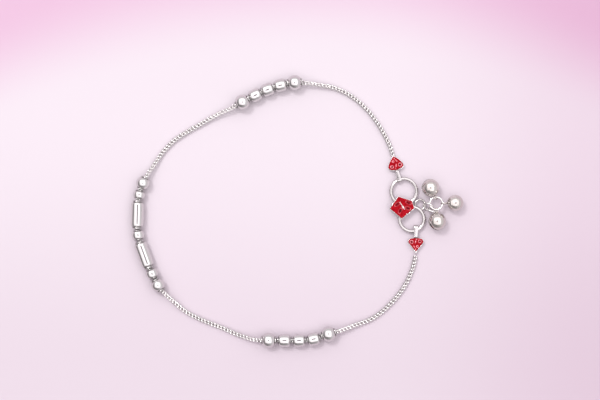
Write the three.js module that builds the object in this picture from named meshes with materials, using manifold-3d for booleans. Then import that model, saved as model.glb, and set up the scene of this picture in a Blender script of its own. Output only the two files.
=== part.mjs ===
// A payal: a silver anklet chain with three groups of hollow beads, a medallion of two
// soldered rings with a red enamelled plate, two enamelled heart trays that join it to the
// chain, and three small bells (ghungroo) on jump rings.
// Millimetres, +Z up. The anklet lies on the plane z = 0, centred on the origin.

import * as THREE from 'three';
import { mergeVertices } from 'three/addons/utils/BufferGeometryUtils.js';
import Module from 'manifold-3d';

const wasm = await Module();
wasm.setup();

// ---- Driving dimensions ------------------------------------------------------------

const CHAIN = { radius: 0.62, sides: 8, step: 3.0, gap: 0.3, lie: 0.72 };
const BORE_RADIUS = 1.0;
const BEAD_WALL = 0.3;
const BEAD_SIDES = 14;

// Beads: body radius, body length, end collar radius and length, and how far a barrel's
// ends are drawn in.
const BEAD_KINDS = {
  large_round: { radius: 2.3, round: true, collarRadius: 1.3, collar: 0.4 },
  small_round: { radius: 2.05, round: true, collarRadius: 1.3, collar: 0.4 },
  barrel: { radius: 1.95, length: 3.4, shoulder: 0.75, collarRadius: 1.35, collar: 0.25 },
  oblate: { radius: 1.8, length: 2.1, shoulder: 0.7, collarRadius: 1.35, collar: 0.25 },
  drum: { radius: 1.9, length: 2.5, shoulder: 0.75, collarRadius: 1.35, collar: 0.25 },
  tube: { radius: 1.95, length: 7.3, shoulder: 0.3, collarRadius: 1.5, collar: 0.65 },
};

// The chain's line, hand laid in plan and height. Each bead group sits on its middle point.
const TOP_MIDDLE = [-8.9, 36.9, 2.12];
const SIDE_MIDDLE = [-48.0, -7.0, 1.97];
const BOTTOM_MIDDLE = [0.6, -38.8, 2.12];
const LIE = CHAIN.lie;
const ROUTE = [
  [29.0, 17.1, 0.8],
  [27.8, 20.6, LIE],
  [24.8, 26.2, LIE],
  [21.1, 31.0, LIE],
  [16.6, 34.9, LIE],
  [11.5, 37.4, 0.95],
  [6.6, 38.4, 1.5],
  [2.2, 38.9, 2.1],
  [-0.7, 39.0, 2.12],
  [-5.0, 38.2, 2.12],
  TOP_MIDDLE,
  [-12.6, 35.2, 2.12],
  [-16.7, 33.0, 2.12],
  [-19.6, 31.4, 2.1],
  [-23.8, 29.6, 1.4],
  [-28.2, 27.1, 0.85],
  [-33.8, 23.9, LIE],
  [-37.3, 21.5, LIE],
  [-40.9, 17.7, LIE],
  [-43.8, 13.2, 1.45],
  [-45.3, 11.0, 1.95],
  [-46.5, 8.7, 1.97],
  [-47.7, 5.1, 1.97],
  [-48.2, -0.8, 1.97],
  SIDE_MIDDLE,
  [-46.1, -13.1, 1.97],
  [-43.7, -18.8, 1.97],
  [-41.6, -22.7, 1.97],
  [-39.9, -24.7, 1.95],
  [-37.1, -27.3, 1.4],
  [-33.8, -30.1, LIE],
  [-29.3, -32.5, LIE],
  [-23.2, -34.9, LIE],
  [-17.1, -37.4, 1.1],
  [-12.4, -38.6, 2.05],
  [-8.8, -38.7, 2.12],
  [-4.0, -38.8, 2.12],
  BOTTOM_MIDDLE,
  [5.3, -38.3, 2.12],
  [9.5, -36.8, 2.12],
  [12.9, -35.9, 2.05],
  [17.5, -34.3, 1.15],
  [22.7, -32.3, LIE],
  [27.3, -28.8, LIE],
  [32.0, -23.3, LIE],
  [34.9, -17.35, LIE],
  [35.9, -13.2, 0.8],
];

const BEAD_GROUPS = [
  {
    name: 'top', middle: TOP_MIDDLE, gap: 0.17,
    kinds: ['large_round', 'barrel', 'barrel', 'barrel', 'large_round'],
  },
  {
    name: 'side', middle: SIDE_MIDDLE, gap: 0.42,
    kinds: ['small_round', 'oblate', 'tube', 'drum', 'tube', 'drum', 'small_round'],
  },
  {
    name: 'bottom', middle: BOTTOM_MIDDLE, gap: 0.52,
    kinds: ['large_round', 'barrel', 'barrel', 'barrel', 'large_round'],
  },
];

// Medallion: two rings side by side, a small eye for the jump rings, and the plate's tray.
const RING = { wire: 0.52, z: 1.15, around: 32, sides: 8 };
const UPPER_RING = { x: 32.3, y: 6.2, radius: 3.85 };
const LOWER_RING = { x: 34.7, y: -2.15, radius: 3.7 };
const EYE = { x: 37.25, y: 2.2, radius: 1.53, wire: 0.22, around: 24 };
const PLATE = { bottom: 1.45, height: 1.15, wall: 0.28, recess: 0.45 };
const PLATE_CORNERS = [
  [30.5, 4.75],
  [34.75, 3.35],
  [35.5, 1.05],
  [31.55, -2.3],
  [27.8, 0.95],
];

// Heart trays: the outline is drawn with its tip at -Y and its bail on +Y. The belly is how
// far a side swells out of the straight, and the turn is in degrees.
const HEART = {
  halfWidth: 2.4, tip: -2.5, waist: 0.45, shoulder: 1.75, shoulderX: 1.25, crown: 2,
  bulge: 0.05, pull: 1.5, arcs: 5, height: 1.4, wall: 0.25, recess: 0.45,
};
const BAIL = {
  width: 1.2, metal: 0.25, length: 3.75, overlap: 0.4, bottom: 0.2, inner: 0.66, arcs: 6,
};
const TAB = { radius: 0.5, reach: 0.25, height: 1.2, around: 12 };
const HEARTS = [
  { name: 'heart_upper', x: 29.7, y: 14.45, turn: 194, belly: 0.5 },
  { name: 'heart_lower', x: 35.9, y: -9.7, turn: 0, belly: 0.1 },
];

const ENAMEL = { gap: 0.04, proud: 0.02 };

// Jump rings: centre, and the direction that each one's axis points in. The first is linked
// through the eye, and the other two through the first.
const JUMP_WIRE = { radius: 0.2, around: 20, sides: 6 };
const JUMP_RINGS = [
  { radius: 1.55, centre: [39.64, 1.54, 1.56], axis: [-0.39, -0.71, 0.59] },
  { radius: 1.4, centre: [40.56, 0.71, 2.32], axis: [0.29, 0.89, 0.35] },
  { radius: 1.9, centre: [41.92, 2.6, 2.57], axis: [-0.14, 0.11, 0.98] },
];

// Bells: a thin shell with a slit opposite its loop. The axis points from the shell to the
// loop, whose own axis faces the side. The slit is turned from there, in degrees.
const BELL = { wall: 0.3, slit: 0.55, slitDepth: 0.75, aside: 16, up: 10, lift: 0.02 };
const LOOP = { wire: 0.17, around: 16, sides: 6 };
const PELLET = { radius: 0.8, detail: 1 };
const BELLS = [
  {
    radius: 2.7, loop: 0.62, x: 40.22, y: 7.27,
    axis: [0.48, -0.87, -0.1], side: [-0.68, -0.3, -0.67], slitTurn: -42,
  },
  {
    radius: 2.5, loop: 0.95, x: 47.7, y: 2.7,
    axis: [-0.99, -0.04, 0.1], side: [-0.05, 0.99, -0.12], slitTurn: 0,
  },
  {
    radius: 2.7, loop: 0.62, x: 42.26, y: -2.84,
    axis: [-0.1, 0.98, -0.15], side: [0.39, -0.1, -0.92], slitTurn: 137,
  },
];

// ---- Metals and enamel ---------------------------------------------------------------

const silver = (color = 0xd9d7d6, roughness = 0.22) =>
  new THREE.MeshStandardMaterial({ color, roughness, metalness: 1 });
const enamel = () =>
  new THREE.MeshStandardMaterial({ color: 0xc01020, roughness: 0.15, metalness: 0 });

// ---- Small helpers -------------------------------------------------------------------

const anklet = new THREE.Group();
const Y_AXIS = new THREE.Vector3(0, 1, 0);
const Z_AXIS = new THREE.Vector3(0, 0, 1);
const SHORTEST = 1e-3;

function addMesh(name, geometry, material, parent = anklet) {
  const mesh = new THREE.Mesh(geometry, material);
  mesh.name = name;
  parent.add(mesh);
  return mesh;
}

function toSolid(geometry) {
  const plain = geometry.clone();
  plain.deleteAttribute('normal');
  plain.deleteAttribute('uv');
  const merged = mergeVertices(plain, SHORTEST);
  return new wasm.Manifold(new wasm.Mesh({
    numProp: 3,
    vertProperties: new Float32Array(merged.attributes.position.array),
    triVerts: new Uint32Array(merged.index.array),
  }));
}

function toGeometry(solid) {
  const mesh = solid.getMesh();
  const indexed = new THREE.BufferGeometry();
  indexed.setAttribute('position', new THREE.BufferAttribute(mesh.vertProperties, 3));
  indexed.setIndex(new THREE.BufferAttribute(mesh.triVerts, 1));
  const geometry = indexed.toNonIndexed();
  geometry.computeVertexNormals();
  return geometry;
}

function wireRing(radius, wire, around, sides) {
  return new THREE.TorusGeometry(radius, wire, sides, around);
}

// ---- Chain ---------------------------------------------------------------------------

const SPANS = ROUTE.length - 1;
const STEPS_PER_SPAN = 30;
const line = new THREE.CatmullRomCurve3(
  ROUTE.map((point) => new THREE.Vector3(...point)), false, 'centripetal',
);
line.arcLengthDivisions = SPANS * STEPS_PER_SPAN;
const lengths = line.getLengths();
const chainLength = lengths.at(-1);
const alongTo = (point) => lengths[ROUTE.indexOf(point) * STEPS_PER_SPAN];

// One stretch of the chain's line, between two distances along it.
class Stretch extends THREE.Curve {
  constructor(from, to) {
    super();
    this.from = from;
    this.to = to;
  }

  getPoint(t, target = new THREE.Vector3()) {
    const along = this.from + (this.to - this.from) * t;
    return line.getPointAt(Math.min(1, along / chainLength), target);
  }
}

function chainTube(from, to) {
  const section = new THREE.Shape();
  for (let side = 0; side < CHAIN.sides; side += 1) {
    const angle = (2 * Math.PI * (side + 0.5)) / CHAIN.sides;
    const corner = [CHAIN.radius * Math.cos(angle), CHAIN.radius * Math.sin(angle)];
    if (side === 0) section.moveTo(...corner);
    else section.lineTo(...corner);
  }
  section.closePath();
  const steps = Math.round((to - from) / CHAIN.step);
  return new THREE.ExtrudeGeometry(section, { steps, extrudePath: new Stretch(from, to) });
}

function addChains() {
  const half = CHAIN.gap / 2;
  const joins = BEAD_GROUPS.map((group) => alongTo(group.middle));
  const stretches = [
    ['chain_top_right', 0, joins[0] - half],
    ['chain_top_left', joins[0] + half, joins[1] - half],
    ['chain_bottom_left', joins[1] + half, joins[2] - half],
    ['chain_bottom_right', joins[2] + half, chainLength],
  ];
  for (const [name, from, to] of stretches) {
    addMesh(name, chainTube(from, to), silver(0xcfcbc9, 0.3));
  }
}

// ---- Beads ---------------------------------------------------------------------------

const OUTER_ARCS = 6;
const INNER_ARCS = 4;

// [radius, height] pairs up a ball's side, between the two heights where it is narrow wide.
function ballOutline(radius, narrow, arcs) {
  const start = Math.acos(narrow / radius);
  return Array.from({ length: arcs + 1 }, (_, i) => {
    const angle = start * ((2 * i) / arcs - 1);
    return [radius * Math.cos(angle), radius * Math.sin(angle)];
  });
}

// The body's outline from its lower collar to its upper one.
function outerOutline(kind) {
  const { radius, length, shoulder, collarRadius } = kind;
  if (kind.round) return ballOutline(radius, collarRadius, OUTER_ARCS);
  const drawn = (radius + collarRadius) / 2;
  const top = length / 2;
  return [
    [collarRadius, -top],
    [drawn, -top],
    [radius, shoulder - top],
    [radius, top - shoulder],
    [drawn, top],
    [collarRadius, top],
  ];
}

// The hollow inside the body, which opens at both ends through the bore.
function innerOutline(kind) {
  const radius = kind.radius - BEAD_WALL;
  if (kind.round) return ballOutline(radius, BORE_RADIUS, INNER_ARCS);
  const { length, shoulder } = kind;
  const top = length / 2 - BEAD_WALL;
  return [
    [BORE_RADIUS, -top],
    [radius, shoulder - top],
    [radius, top - shoulder],
    [BORE_RADIUS, top],
  ];
}

const beadHalf = (kind) => outerOutline(kind).at(-1)[1] + kind.collar;

function beadGeometry(kind) {
  const end = beadHalf(kind);
  const profile = [
    [BORE_RADIUS, -end],
    [kind.collarRadius, -end],
    ...outerOutline(kind),
    [kind.collarRadius, end],
    [BORE_RADIUS, end],
    ...innerOutline(kind).reverse(),
    [BORE_RADIUS, -end],
  ];
  return new THREE.LatheGeometry(profile.map(([r, y]) => new THREE.Vector2(r, y)), BEAD_SIDES);
}

function addBeadGroup(group) {
  const kinds = group.kinds.map((name) => BEAD_KINDS[name]);
  const places = [];
  let along = 0;
  for (const kind of kinds) {
    along += beadHalf(kind);
    places.push(along);
    along += beadHalf(kind) + group.gap;
  }
  const shift = alongTo(group.middle) - places[(kinds.length - 1) / 2];
  kinds.forEach((kind, i) => {
    const share = (places[i] + shift) / chainLength;
    const bead = addMesh(`bead_${group.name}_${i + 1}`, beadGeometry(kind), silver());
    bead.position.copy(line.getPointAt(share)).setZ(kind.radius);
    const direction = line.getTangentAt(share).setZ(0).normalize();
    bead.quaternion.setFromUnitVectors(Y_AXIS, direction);
  });
}

// ---- Trays and enamel ----------------------------------------------------------------

// An outline moved inwards by the same distance along all its sides.
function inset(points, distance) {
  return points.map((point, i) => {
    const before = points[(i + points.length - 1) % points.length];
    const after = points[(i + 1) % points.length];
    const ahead = after.clone().sub(point).normalize();
    const back = before.clone().sub(point).normalize();
    const middle = ahead.clone().add(back).normalize();
    const sine = Math.abs(ahead.cross(middle));
    const inward = THREE.ShapeUtils.area([before, point, after]) * outlineSign(points) > 0;
    return point.clone().addScaledVector(middle, (inward ? distance : -distance) / sine);
  });
}

const outlineSign = (points) => Math.sign(THREE.ShapeUtils.area(points));

function slab(points, bottom, height) {
  const geometry = new THREE.ExtrudeGeometry(
    new THREE.Shape(points), { depth: height, bevelEnabled: false, steps: 1 },
  );
  return geometry.translate(0, 0, bottom);
}

// A tray: a slab, with what is soldered to it, hollowed from above to leave a wall.
function hollowTray(points, { bottom, height, wall, recess }, soldered) {
  const hollow = slab(inset(points, wall), bottom + height - recess, 2 * height);
  const whole = [slab(points, bottom, height), ...soldered].map(toSolid)
    .reduce((sum, next) => sum.add(next));
  return toGeometry(whole.subtract(toSolid(hollow)));
}

function enamelSlab(points, { bottom, height, wall, recess }) {
  const depth = recess - ENAMEL.gap + ENAMEL.proud;
  const floor = bottom + height - recess + ENAMEL.gap;
  return slab(inset(points, wall + ENAMEL.gap), floor, depth);
}

function addMedallion() {
  const corners = PLATE_CORNERS.map(([x, y]) => new THREE.Vector2(x, y));
  const rings = [UPPER_RING, LOWER_RING].map(({ x, y, radius }) =>
    wireRing(radius, RING.wire, RING.around, RING.sides).translate(x, y, RING.z));
  const eye = wireRing(EYE.radius, EYE.wire, EYE.around, RING.sides);
  eye.translate(EYE.x, EYE.y, RING.z);
  addMesh('medallion', hollowTray(corners, PLATE, [...rings, eye]), silver());
  addMesh('medallion_enamel', enamelSlab(corners, PLATE), enamel());
}

// The heart's outline: sides up from the tip, round shoulders, a low crown.
function heartPoints(belly) {
  const { halfWidth, tip, waist, shoulder, shoulderX, crown, bulge, pull, arcs } = HEART;
  const sideX = halfWidth / 2 + belly;
  const sideY = (tip + waist) / 2 - belly / 2;
  const outline = new THREE.Shape();
  outline.moveTo(0, tip);
  outline.quadraticCurveTo(sideX, sideY, halfWidth, waist);
  outline.quadraticCurveTo(halfWidth + bulge, pull, shoulderX, shoulder);
  outline.lineTo(0, crown);
  outline.lineTo(-shoulderX, shoulder);
  outline.quadraticCurveTo(-halfWidth - bulge, pull, -halfWidth, waist);
  outline.quadraticCurveTo(-sideX, sideY, 0, tip);
  return outline.getPoints(arcs).slice(0, -1);
}

// The bail: a flat strip bent into a closed loop, standing on its edge across the ring.
function bailLoop() {
  const { width, metal, length, overlap, bottom, inner, arcs } = BAIL;
  const outer = inner + metal;
  const reach = length - outer + overlap;
  const stadium = (radius, Path) => {
    const path = new Path();
    path.absarc(0, 0, radius, -Math.PI / 2, Math.PI / 2, false);
    path.absarc(-reach + inner, 0, radius, Math.PI / 2, Math.PI * 1.5, false);
    return path;
  };
  const shape = stadium(outer, THREE.Shape);
  shape.holes.push(stadium(inner, THREE.Path));
  const strip = new THREE.ExtrudeGeometry(
    shape, { depth: width, bevelEnabled: false, curveSegments: arcs },
  );
  strip.translate(0, 0, -width / 2);
  strip.rotateX(Math.PI / 2);
  strip.rotateZ(Math.PI / 2);
  return strip.translate(0, HEART.crown + length - outer, bottom + outer);
}

function addHeart({ name, x, y, turn, belly }) {
  const points = heartPoints(belly);
  const tray = { bottom: 0, ...HEART };
  const tab = new THREE.CylinderGeometry(TAB.radius, TAB.radius, TAB.height, TAB.around);
  tab.rotateX(Math.PI / 2).translate(0, HEART.tip - TAB.reach + TAB.radius, TAB.height / 2);
  const group = new THREE.Group();
  group.position.set(x, y, 0);
  group.rotation.z = THREE.MathUtils.degToRad(turn);
  anklet.add(group);
  addMesh(name, hollowTray(points, tray, [bailLoop(), tab]), silver(), group);
  addMesh(`${name}_enamel`, enamelSlab(points, tray), enamel(), group);
}

// ---- Jump rings and bells ------------------------------------------------------------

function addJumpRings() {
  JUMP_RINGS.forEach(({ radius, centre, axis }, i) => {
    const geometry = wireRing(radius, JUMP_WIRE.radius, JUMP_WIRE.around, JUMP_WIRE.sides);
    const ring = addMesh(`jump_ring_${i + 1}`, geometry, silver());
    ring.position.set(...centre);
    ring.quaternion.setFromUnitVectors(Z_AXIS, new THREE.Vector3(...axis).normalize());
  });
}

function bellShell(radius, loopRadius, slitTurn) {
  const ball = (r) => new THREE.SphereGeometry(r, BELL.aside, BELL.up);
  const depth = radius * BELL.slitDepth;
  const slit = new THREE.BoxGeometry(2 * radius, depth, BELL.slit);
  slit.translate(0, -radius + depth / 2 - BELL.wall, 0);
  slit.rotateY(THREE.MathUtils.degToRad(slitTurn));
  const loop = wireRing(loopRadius, LOOP.wire, LOOP.around, LOOP.sides);
  loop.rotateX(Math.PI / 2).rotateZ(Math.PI / 2).translate(0, radius + loopRadius, 0);
  const shell = toSolid(ball(radius)).subtract(toSolid(ball(radius - BELL.wall)));
  return toGeometry(shell.subtract(toSolid(slit)).add(toSolid(loop)));
}

// Turns +Y to the bell's axis and +X, which is its loop's axis, to the side it faces.
function bellTurn(axis, side) {
  const up = new THREE.Vector3(...axis).normalize();
  const along = new THREE.Vector3(...side);
  along.addScaledVector(up, -along.dot(up)).normalize();
  const third = new THREE.Vector3().crossVectors(along, up);
  return new THREE.Matrix4().makeBasis(along, up, third);
}

function addBells() {
  BELLS.forEach(({ radius, loop, x, y, axis, side, slitTurn }, i) => {
    const group = new THREE.Group();
    group.position.set(x, y, radius + BELL.lift);
    anklet.add(group);
    const shell = addMesh(`bell_${i + 1}`, bellShell(radius, loop, slitTurn), silver(), group);
    shell.quaternion.setFromRotationMatrix(bellTurn(axis, side));
    const pellet = new THREE.IcosahedronGeometry(PELLET.radius, PELLET.detail);
    const ball = addMesh(`bell_pellet_${i + 1}`, pellet, silver(0x8f8c8a, 0.4), group);
    ball.position.z = BELL.wall + PELLET.radius + 2 * BELL.lift - radius;
  });
}

// ---- Assembly ------------------------------------------------------------------------

addChains();
BEAD_GROUPS.forEach(addBeadGroup);
addMedallion();
HEARTS.forEach(addHeart);
addJumpRings();
addBells();

export default anklet;
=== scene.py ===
# %% [markdown]
# # A silver payal with red enamel
#
# A payal is an anklet. This one is a fine silver chain, threaded through three groups of
# hollow silver beads. A medallion of two rings and an enamelled plate closes the loop, with
# an enamelled heart on each side of it, and three small bells hang from it on jump rings.
#
# The imported model gives every place and size. It is loaded first, and its box is kept.

# %% Load the frame
import math
import random

import bpy
from mathutils import Matrix, Vector


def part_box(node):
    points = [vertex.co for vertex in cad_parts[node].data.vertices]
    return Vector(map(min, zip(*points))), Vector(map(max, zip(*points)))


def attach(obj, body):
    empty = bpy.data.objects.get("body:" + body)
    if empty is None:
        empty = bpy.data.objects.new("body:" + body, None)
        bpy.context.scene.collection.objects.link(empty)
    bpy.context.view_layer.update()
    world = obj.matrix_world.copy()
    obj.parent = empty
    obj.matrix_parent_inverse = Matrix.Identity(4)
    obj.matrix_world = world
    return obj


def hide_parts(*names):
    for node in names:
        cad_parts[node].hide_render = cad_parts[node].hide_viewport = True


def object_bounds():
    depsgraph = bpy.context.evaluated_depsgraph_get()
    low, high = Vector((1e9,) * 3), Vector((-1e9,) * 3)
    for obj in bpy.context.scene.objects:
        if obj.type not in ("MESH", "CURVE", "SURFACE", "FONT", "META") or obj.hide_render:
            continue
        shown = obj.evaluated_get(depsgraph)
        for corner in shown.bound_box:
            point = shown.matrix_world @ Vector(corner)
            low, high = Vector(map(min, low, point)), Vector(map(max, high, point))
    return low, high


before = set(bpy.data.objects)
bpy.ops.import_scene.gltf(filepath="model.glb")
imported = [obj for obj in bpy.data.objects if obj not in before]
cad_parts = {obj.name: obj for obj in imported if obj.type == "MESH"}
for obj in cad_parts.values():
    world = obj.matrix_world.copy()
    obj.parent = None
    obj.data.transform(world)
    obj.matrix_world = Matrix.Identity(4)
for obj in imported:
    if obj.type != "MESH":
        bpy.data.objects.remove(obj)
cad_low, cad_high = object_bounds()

MM = 0.001

print("nodes:", len(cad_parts), "box in mm:", [round(v / MM, 2) for v in cad_high - cad_low])

# %% [markdown]
# ## Working in millimetres, finishing in metres
#
# Jewellery is measured in millimetres, so each piece is modelled in millimetres round the
# origin, where a bead's wall is 0.3 and not 0.0003. When its shape is done, it is turned,
# brought to metres and set with the middle of its box on the middle of its CAD node's box.
# An operator acts on everything that is selected, so each piece starts from nothing selected.

# %% Small helpers for selecting and setting
JOIN_DISTANCE = 1e-4


def deselect():
    """Leaves object mode with nothing selected."""
    if bpy.context.object and bpy.context.object.mode != "OBJECT":
        bpy.ops.object.mode_set(mode="OBJECT")
    bpy.ops.object.select_all(action="DESELECT")


def make_active(piece):
    """Selects one piece alone."""
    deselect()
    piece.select_set(True)
    bpy.context.view_layer.objects.active = piece


def name_piece(name):
    """Names the active piece and its mesh."""
    piece = bpy.context.object
    piece.name = name
    piece.data.name = name
    return piece


def pick(piece, wanted, kind="vertices"):
    """In edit mode, selects the vertices or faces whose middle passes the test."""
    bpy.ops.mesh.select_all(action="DESELECT")
    bpy.ops.object.mode_set(mode="OBJECT")
    for part in getattr(piece.data, kind):
        middle = part.co if kind == "vertices" else part.center
        part.select = bool(wanted(middle))
    bpy.ops.object.mode_set(mode="EDIT")


def close_up(piece):
    """Merges doubled points and turns every face outwards."""
    make_active(piece)
    bpy.ops.object.mode_set(mode="EDIT")
    bpy.ops.mesh.select_all(action="SELECT")
    bpy.ops.mesh.remove_doubles(threshold=JOIN_DISTANCE)
    bpy.ops.mesh.normals_make_consistent(inside=False)
    bpy.ops.object.mode_set(mode="OBJECT")
    return piece


def apply_modifier(piece, kind, **settings):
    """Adds one modifier with its settings and applies it."""
    make_active(piece)
    modifier = piece.modifiers.new(kind.title(), kind)
    for name, value in settings.items():
        setattr(modifier, name, value)
    bpy.ops.object.modifier_apply(modifier=modifier.name)
    return piece


def copy_of(piece, name):
    """A copy with a mesh of its own."""
    twin = piece.copy()
    twin.data = piece.data.copy()
    twin.name = name
    twin.data.name = name
    bpy.context.collection.objects.link(twin)
    return twin


def join(pieces, name):
    """Joins pieces into the first one."""
    deselect()
    for piece in pieces:
        piece.select_set(True)
    bpy.context.view_layer.objects.active = pieces[0]
    if len(pieces) > 1:
        bpy.ops.object.join()
    return name_piece(name)


# %% Setting a piece into the frame
SMOOTH_ANGLE = math.radians(62)


def mesh_box(piece):
    """The lowest and highest corner of a piece's mesh."""
    corners = [vertex.co for vertex in piece.data.vertices]
    low = Vector([min(corner[i] for corner in corners) for i in range(3)])
    high = Vector([max(corner[i] for corner in corners) for i in range(3)])
    return low, high


def seat(piece, node, turn=Matrix.Identity(3)):
    """Turns a piece, brings it to metres and centres its box on the node's box."""
    piece.data.transform(Matrix.Scale(MM, 4) @ turn.to_4x4())
    low, high = mesh_box(piece)
    node_low, node_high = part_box(node)
    piece.data.transform(Matrix.Translation((node_low + node_high - low - high) / 2))
    return piece


def show(piece, finish, slot, *nodes):
    """Smooths a finished piece, gives it its finish and lets it stand for its nodes."""
    make_active(piece)
    bpy.ops.object.shade_smooth_by_angle(angle=SMOOTH_ANGLE)
    piece.data.materials.clear()
    piece.data.materials.append(finish)
    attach(piece, "root")
    if nodes:
        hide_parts(*nodes)
    return piece


def weigh_normals(pieces):
    """Keeps broad flat faces flat up to their narrow bevels."""
    for piece in pieces:
        apply_modifier(piece, "WEIGHTED_NORMAL", keep_sharp=True, weight=100)


def report(title, pieces):
    """Prints how many pieces there are, and their triangles."""
    triangles = sum(len(face.vertices) - 2 for piece in pieces for face in piece.data.polygons)
    print(f"{title}: {len(pieces)} pieces, {triangles} triangles")


# %% [markdown]
# ## Finishes
#
# The metal is sterling silver. It has no colour of its own to speak of: what is seen is the
# studio in it, so its roughness and the small unevenness of its surface do the work. A
# material is built from nodes. Noise in Object coordinates stays the same size whatever it
# is on, so each pattern's scale comes from a real length in millimetres.

# %% One function for nodes, one for colours
def linear(hex_colour):
    """An sRGB hex colour as linear RGBA."""
    channels = [int(hex_colour[i:i + 2], 16) / 255 for i in (1, 3, 5)]
    curve = [c / 12.92 if c <= 0.04045 else ((c + 0.055) / 1.055) ** 2.4 for c in channels]
    return (*curve, 1.0)


def per_mm(length):
    """The noise scale that gives a pattern of that many millimetres in a frame in metres."""
    return 1 / (length * MM)


def add_node(tree, kind, settings=None, links=None):
    """Adds a node. Settings are its properties or input values, links are sockets by input."""
    node = tree.nodes.new(kind)
    for key, value in (settings or {}).items():
        if isinstance(key, str) and hasattr(node, key):
            setattr(node, key, value)
        else:
            node.inputs[key].default_value = value
    for key, socket in (links or {}).items():
        tree.links.new(socket, node.inputs[key])
    return node


def new_finish(name):
    """An empty material, with its output and its Object coordinates."""
    finish = bpy.data.materials.new(name)
    finish.use_nodes = True
    tree = finish.node_tree
    tree.nodes.clear()
    place = add_node(tree, "ShaderNodeTexCoord").outputs["Object"]
    return finish, tree, place


# %% [markdown]
# Polished silver. Sterling silver that has been barrel polished is bright with a soft grain:
# tumbling with steel shot leaves shallow dents about a millimetre wide, which make the
# reflections waver, and fine scuffs that vary the gloss. Where a polishing cloth can't
# reach, next to a collar or in a slit, silver turns a warm brown. Each point of a piece
# carries a number from 0 to 1, called tarnish_and_shade, that says how much of that brown
# there is. The same brown also serves as painted shade, under the chain's links and in the
# beads' collars and bores.

# %% Silver finishes
TARNISH_AND_SHADE = "tarnish_and_shade"
SILVERS = {
    # name: colour, colour for tarnish and painted shade, gloss from and to, dent width and depth
    # in mm
    "sterling_silver_barrel_polished": ("#D6D4D3", "#40332A", 0.07, 0.15, 1.3, 0.006),
    "sterling_silver_drawn_wire": ("#E6E4E2", "#4A3F38", 0.12, 0.22, 0.5, 0.002),
    "sterling_silver_cast_polished": ("#D4D1D0", "#5E4C3C", 0.08, 0.16, 1.2, 0.003),
    "sterling_silver_stamped_bell": ("#D6D1CC", "#5E4A30", 0.10, 0.2, 1.3, 0.02),
}
TARNISH_PATCH = 0.45
TARNISH_DULLS = 0.25
TARNISH_LEAST = 0.35
SCUFF_WIDTH = 0.35
# a noise texture's values lie mostly in the middle of 0 to 1, so the middle is stretched
PATCH_RANGE = {"From Min": 0.3, "From Max": 0.7}
SCUFF_RANGE = {"From Min": 0.35, "From Max": 0.65}


def mark_tarnish_and_shade(piece, amount):
    """Stores how much tarnish and painted shade each point has, from 0 to 1, by a rule on its
    place.
    """
    store = piece.data.attributes.new(TARNISH_AND_SHADE, "FLOAT", "POINT")
    store.data.foreach_set("value", [amount(vertex.co) for vertex in piece.data.vertices])


def fade(distance, reach):
    """1 at a place, falling to 0 at that reach on either side of it."""
    return max(0.0, 1 - abs(distance) / reach)


def silver_finish(name, colour, dark, gloss, dull, dent, depth):
    """Silver with dents, scuffs, and tarnish and painted shade where the piece's own number asks
    for it.
    """
    finish, tree, place = new_finish(name)
    dents = add_node(
        tree, "ShaderNodeTexNoise", {"Scale": per_mm(dent), "Detail": 2.0}, {"Vector": place}
    )
    scuffs = add_node(
        tree, "ShaderNodeTexNoise",
        {"Scale": per_mm(SCUFF_WIDTH), "Detail": 4.0, "Roughness": 0.7}, {"Vector": place},
    )
    patches = add_node(
        tree, "ShaderNodeTexNoise",
        {"Scale": per_mm(TARNISH_PATCH), "Detail": 3.0}, {"Vector": place},
    )
    # the per-point amount of tarnish and painted shade
    held = add_node(tree, "ShaderNodeAttribute", {"attribute_name": TARNISH_AND_SHADE})
    uneven = add_node(
        tree, "ShaderNodeMapRange", {**PATCH_RANGE, "To Min": TARNISH_LEAST},
        {"Value": patches.outputs[0]},
    )
    amount = add_node(
        tree, "ShaderNodeMath", {"operation": "MULTIPLY"},
        {0: held.outputs["Fac"], 1: uneven.outputs["Result"]},
    )
    tone = add_node(
        tree, "ShaderNodeMix", {"data_type": "RGBA", 6: linear(colour), 7: linear(dark)},
        {0: amount.outputs[0]},
    )
    sheen = add_node(
        tree, "ShaderNodeMapRange", {**SCUFF_RANGE, "To Min": gloss, "To Max": dull},
        {"Value": scuffs.outputs[0]},
    )
    rough = add_node(
        tree, "ShaderNodeMath", {"operation": "MULTIPLY_ADD", 1: TARNISH_DULLS},
        {0: amount.outputs[0], 2: sheen.outputs["Result"]},
    )
    bump = add_node(
        tree, "ShaderNodeBump", {"Strength": 1.0, "Distance": depth * MM},
        {"Height": dents.outputs[0]},
    )
    shader = add_node(
        tree, "ShaderNodeBsdfPrincipled", {"Metallic": 1.0},
        {"Base Color": tone.outputs[2], "Roughness": rough.outputs[0],
         "Normal": bump.outputs["Normal"]},
    )
    add_node(tree, "ShaderNodeOutputMaterial", None, {"Surface": shader.outputs["BSDF"]})
    return finish


silvers = {name: silver_finish(name, *values) for name, values in SILVERS.items()}
BEAD_SILVER = silvers["sterling_silver_barrel_polished"]
WIRE_SILVER = silvers["sterling_silver_drawn_wire"]
CAST_SILVER = silvers["sterling_silver_cast_polished"]
BELL_SILVER = silvers["sterling_silver_stamped_bell"]
print("silver finishes:", ", ".join(silvers))

# %% [markdown]
# Red enamel. Vitreous enamel is powdered glass, fired on the silver until it flows. It is
# deep where it is thick, and pinker where it is thin over a raised line, because the bright
# metal shows through. Its surface is glass: a clear gloss over a slightly wavy pool. Under
# a large soft light that gloss would veil the red, so it is kept low here.

# %% Enamel and steel finishes
ENAMEL_MOTTLE = 0.7
ENAMEL_WAVE = 1.6
ENAMEL_GLOSS = 0.06
MOTTLE_RANGE = {"From Min": 0.35, "From Max": 0.7}


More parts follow.
